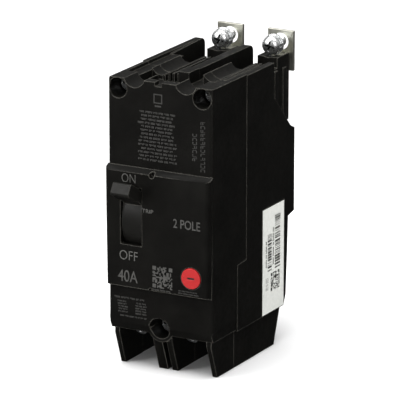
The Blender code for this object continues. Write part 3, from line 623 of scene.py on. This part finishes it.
def sign(rng, stroke=0.2):
    """Strokes of a made-up letter in a unit square, as (u range, v range): one stem and one or two bars."""
    stems = [((0.0, stroke), (0.0, 1.0)), ((1 - stroke, 1.0), (0.0, 1.0))]
    bars = [((0.0, 1.0), (v, v + stroke)) for v in (0.0, (1 - stroke) / 2, 1 - stroke)]
    return [rng.choice(stems)] + rng.sample(bars, rng.choice((1, 2, 2)))


def upright_line(name, x, z, seed):
    """A line of larger made-up letters that runs up the cover's upper face."""
    rng = random.Random(SEED + seed)
    work = bmesh.new()
    height = x[1] - x[0]
    count = round((z[1] - z[0]) / (height * UPRIGHT_PITCH))
    pitch = (z[1] - z[0]) / count
    for i in range(count):
        start = z[0] + i * pitch
        for u, v in sign(rng):
            across = (x[1] - v[1] * height, x[1] - v[0] * height)
            along = (start + u[0] * pitch * UPRIGHT_FILL, start + u[1] * pitch * UPRIGHT_FILL)
            slab(work, across, along, UPPER_FACE_Y, INK_DEPTH)
    printed(name, work, "front_cover", DIM_INK)


def code_cells(rng):
    """The filled cells of a square code: solid in three corners, empty around them, and noise elsewhere."""
    last = CODE_CELLS - 1
    for i in range(CODE_CELLS):
        for j in range(CODE_CELLS):
            from_corner = min(max(i, j), max(last - i, j), max(i, last - j))
            if from_corner < CODE_BLOCK or from_corner > CODE_BLOCK and rng.random() < CODE_SHARE:
                yield i, j


def code_square(name, x, top):
    """A square code on the cover's raised face, whose cells encode nothing."""
    work = bmesh.new()
    cell = (x[1] - x[0]) / CODE_CELLS
    for i, j in code_cells(random.Random(SEED)):
        left, high = x[0] + i * cell, top - j * cell
        slab(work, (left, left + cell), (high - cell, high), RAISED_FACE_Y, INK_DEPTH)
    printed(name, work, "front_cover", MID_INK)


def square_mark(name, x, z, line=0.5):
    """A plain hollow square over a short bar, in place of an approval mark."""
    work = bmesh.new()
    for span_x, span_z in ((x, (z[0], z[0] + line)), (x, (z[1] - line, z[1])),
                           ((x[0], x[0] + line), (z[0] + line, z[1] - line)),
                           ((x[1] - line, x[1]), (z[0] + line, z[1] - line)),
                           ((x[0] + 0.6, x[1] - 0.6), (z[0] - 1.5, z[0] - 0.8))):
        slab(work, span_x, span_z, UPPER_FACE_Y, INK_DEPTH)
    printed(name, work, "front_cover", DIM_INK)


def button_mark():
    """Dark paint in the trip button's slot."""
    low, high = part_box("trip_button")
    middle_z = to_mm((low + high) / 2).z
    half_x, half_z = BUTTON_SLOT_HALF
    work = bmesh.new()
    slab(work, (BUTTON_X - half_x, BUTTON_X + half_x), (middle_z - half_z, middle_z + half_z),
         to_mm(low).y + BUTTON_SLOT_DEPTH, 0.05)
    printed("print_button_slot", work, "trip_button", BLACK_INK)


def raised_face_print():
    """The handle's and the button's legends, the ratings and the code on the cover's raised face."""
    lettering("print_on", "ON", (-16.8, -10.1), (-44.7, -40.9), weight=-0.012)
    lettering("print_off", "OFF", (-18.0, -9.1), (-79.2, -75.1), weight=-0.012)
    lettering("print_rating", "40A", (-18.8, -9.2), (-89.0, -83.8), ink=MID_INK, weight=0.004)
    lettering("print_trip", "TRIP", (-6.9, -1.5), (-57.0, -55.3), weight=-0.004)
    lettering("print_poles", "2 POLE", (8.2, 21.2), (-61.6, -57.6), ink=MID_INK, weight=0.01)
    code_square("print_code", CODE_X, CODE_TOP)
    text_rows("print_under_code", CODE_X, (-91.0, -90.1), RAISED_FACE_Y, 1, 0.8, seed=1)
    text_rows("print_under_button", (10.2, 21.2), (-91.0, -88.9), RAISED_FACE_Y, 2, 0.55,
              seed=2, centred=True)


def upper_face_print():
    """The listing, two upright lines, the table and the square mark on the cover's upper face."""
    text_rows("print_listing", (-11.0, 8.8), (-35.5, -13.0), UPPER_FACE_Y, 14, 0.55, seed=3, centred=True)
    upright_line("print_upright_short", (15.7, 17.9), (-32.0, -19.6), seed=4)
    upright_line("print_upright_long", (19.6, 21.8), (-36.4, -14.0), seed=6)
    text_rows("print_table_head", (-22.4, -6.0), (-98.2, -97.0), UPPER_FACE_Y, 1, 0.7, seed=5)
    for column, x in enumerate(TABLE_COLUMNS):
        text_rows(f"print_table_{column}", x, (-104.6, -98.8), UPPER_FACE_Y, 5, 0.6,
                  seed=7 + column, centred=True)
    text_rows("print_table_foot", (-19.6, -5.4), (-106.2, -105.2), UPPER_FACE_Y, 1, 0.7, seed=9)
    square_mark("print_mark", (-3.0, 1.2), (-9.2, -5.0))


def barcode(work, rng, y, z, x):
    """A bar code's bars, one above another, whose widths encode nothing."""
    at = z[0]
    while at < z[1] - 0.5:
        thick = rng.choice(BAR_WIDTHS)
        side_slab(work, y, (at, at + thick), x, INK_DEPTH)
        at += thick + rng.choice(BAR_GAPS)


def label_print():
    """Two bar codes, a square code and columns of small print on the side label."""
    rng = random.Random(SEED + 9)
    face = to_mm(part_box("side_label")[1]).x
    work = bmesh.new()
    for y, z in BARCODES:
        barcode(work, rng, y, z, face)
    for y, z in BARCODE_LINES:
        for stroke in glyphs(rng, *z, 1.0):
            side_slab(work, y, stroke, face, INK_DEPTH)
    for stroke in glyphs(rng, *SIDE_LINES_Z, 0.8):
        for y in SIDE_LINES:
            side_slab(work, y, stroke, face, INK_DEPTH)
    cell = SIDE_CODE_SIZE / CODE_CELLS
    for i, j in code_cells(rng):
        cell_y = (SIDE_CODE_Y + i * cell, SIDE_CODE_Y + (i + 1) * cell)
        cell_z = (SIDE_CODE_TOP - (j + 1) * cell, SIDE_CODE_TOP - j * cell)
        side_slab(work, cell_y, cell_z, face, INK_DEPTH)
    printed("label_print", work, "side_label", BLACK_INK)


# ---------------------------------------------------------------- stage

def floor():
    """A pale floor under the object's feet."""
    work = bmesh.new()
    bmesh.ops.create_grid(work, x_segments=1, y_segments=1, size=FLOOR_HALF)
    work.transform(Matrix.Translation((0.0, 0.0, CAD_BOX[0].z - FLOOR_DROP)))
    ground = object_from("floor", work)
    bpy.context.scene.collection.objects.link(ground)
    pale = Surface("pale_floor", specular=0.0)
    tone = pale.spread(pale.noise(300.0), 0.0, 1.0)
    colour = pale.mix(tone, (0.9, 0.9, 0.9), (0.92, 0.92, 0.92))
    ground.data.materials.append(pale.finish(colour, pale.spread(tone, 0.8, 0.9)))
    ground.visible_glossy = False


def outward(azimuth, elevation):
    """The direction from the object towards an azimuth and an elevation in degrees, 0 being its front."""
    a, e = math.radians(azimuth), math.radians(elevation)
    return Vector((math.sin(a) * math.cos(e), -math.cos(a) * math.cos(e), math.sin(e)))


def softbox(name, azimuth, elevation, distance, size, power):
    """An area light, aimed at the object, from an azimuth and an elevation in degrees."""
    away = outward(azimuth, elevation)
    light = bpy.data.lights.new(name, "AREA")
    light.shape = "RECTANGLE"
    light.size, light.size_y = size
    light.energy = power
    lamp = bpy.data.objects.new(name, light)
    lamp.location = place(*LIGHT_AIM) + away * distance
    lamp.rotation_mode = "QUATERNION"
    lamp.rotation_quaternion = away.to_track_quat("Z", "Y")
    bpy.context.scene.collection.objects.link(lamp)


def studio_world():
    """Soft surroundings, bright overhead and dim towards and below the horizon, on a plain white backdrop."""
    world = bpy.data.worlds.new("studio")
    world.use_nodes = True
    tree = world.node_tree
    direction = tree.nodes.new("ShaderNodeTexCoord")
    parts = tree.nodes.new("ShaderNodeSeparateXYZ")
    ramp = tree.nodes.new("ShaderNodeMapRange")
    ramp.inputs["From Min"].default_value, ramp.inputs["From Max"].default_value = WORLD_RISE
    ramp.inputs["To Min"].default_value = WORLD_LOW
    ramp.inputs["To Max"].default_value = WORLD_HIGH
    tree.links.new(direction.outputs["Generated"], parts.inputs["Vector"])
    tree.links.new(parts.outputs["Z"], ramp.inputs["Value"])
    backdrop = tree.nodes.new("ShaderNodeMix")
    backdrop.inputs["B"].default_value = 1.0
    tree.links.new(tree.nodes.new("ShaderNodeLightPath").outputs["Is Camera Ray"], backdrop.inputs["Factor"])
    tree.links.new(ramp.outputs["Result"], backdrop.inputs["A"])
    tree.links.new(backdrop.outputs["Result"], tree.nodes["Background"].inputs["Strength"])
    tree.nodes["Background"].inputs["Color"].default_value = (1.0, 1.0, 1.0, 1.0)
    bpy.context.scene.world = world


def lighting():
    """Four soft lights and the surroundings, shown without a filmic curve."""
    studio_world()
    softbox("key_softbox", -38.0, 22.0, 1.3, (0.6, 0.6), 7.5)
    softbox("top_softbox", -10.0, 82.0, 1.3, (1.2, 1.2), 30.0)
    softbox("rim_softbox", 140.0, 20.0, 1.4, (0.25, 0.9), 1.0)
    softbox("fill_softbox", 24.0, 14.0, 2.1, (0.7, 0.7), 8.0)
    bpy.context.scene.view_settings.view_transform = "Standard"


def camera():
    """A long lens that looks at the object's front right from a little above."""
    back = outward(AZIMUTH, ELEVATION)
    right = outward(AZIMUTH + 90.0, 0.0)
    up = back.cross(right)
    turn = Matrix((right, up, back)).transposed() @ Matrix.Rotation(math.radians(ROLL), 3, "Z")
    lens = bpy.data.cameras.new("camera")
    lens.lens = LENS
    lens.sensor_width = SENSOR
    lens.clip_end = 20.0
    eye = bpy.data.objects.new("camera", lens)
    eye.location = place(*CAMERA_AIM) + back * CAMERA_DISTANCE * MM
    eye.rotation_mode = "QUATERNION"
    eye.rotation_quaternion = turn.to_quaternion()
    bpy.context.scene.collection.objects.link(eye)
    bpy.context.scene.camera = eye


def dress_pieces():
    """Gives every CAD node its material, and the pieces that can be seen their rounded edges."""
    for node, cad in NODES.items():
        cad.data.materials.clear()
        cad.data.materials.append(MATERIALS[SLOT_OF[node]])
    for node in ("front_cover", "base"):
        dress(node, 0.18)
    dress("handle", 0.35, 3)
    dress("trip_button", 0.3, 3)
    dress("side_label", 0.03, 1)
    for name in WELLS:
        dress(f"case_screw_{name}", 0.2)
    for side in ("left", "right"):
        line_screw(side)
        dress(f"line_strap_{side}", 0.25, 3)
        dress(f"load_lug_{side}", 0.25)
        dress(f"load_screw_{side}", 0.2)
        dress(f"lock_washer_{side}", 0.15)
        dress(f"flat_washer_{side}", 0.12)


def main():
    camera()
    floor()
    lighting()
    dress_pieces()
    raised_face_print()
    upper_face_print()
    button_mark()
    label_print()


main()
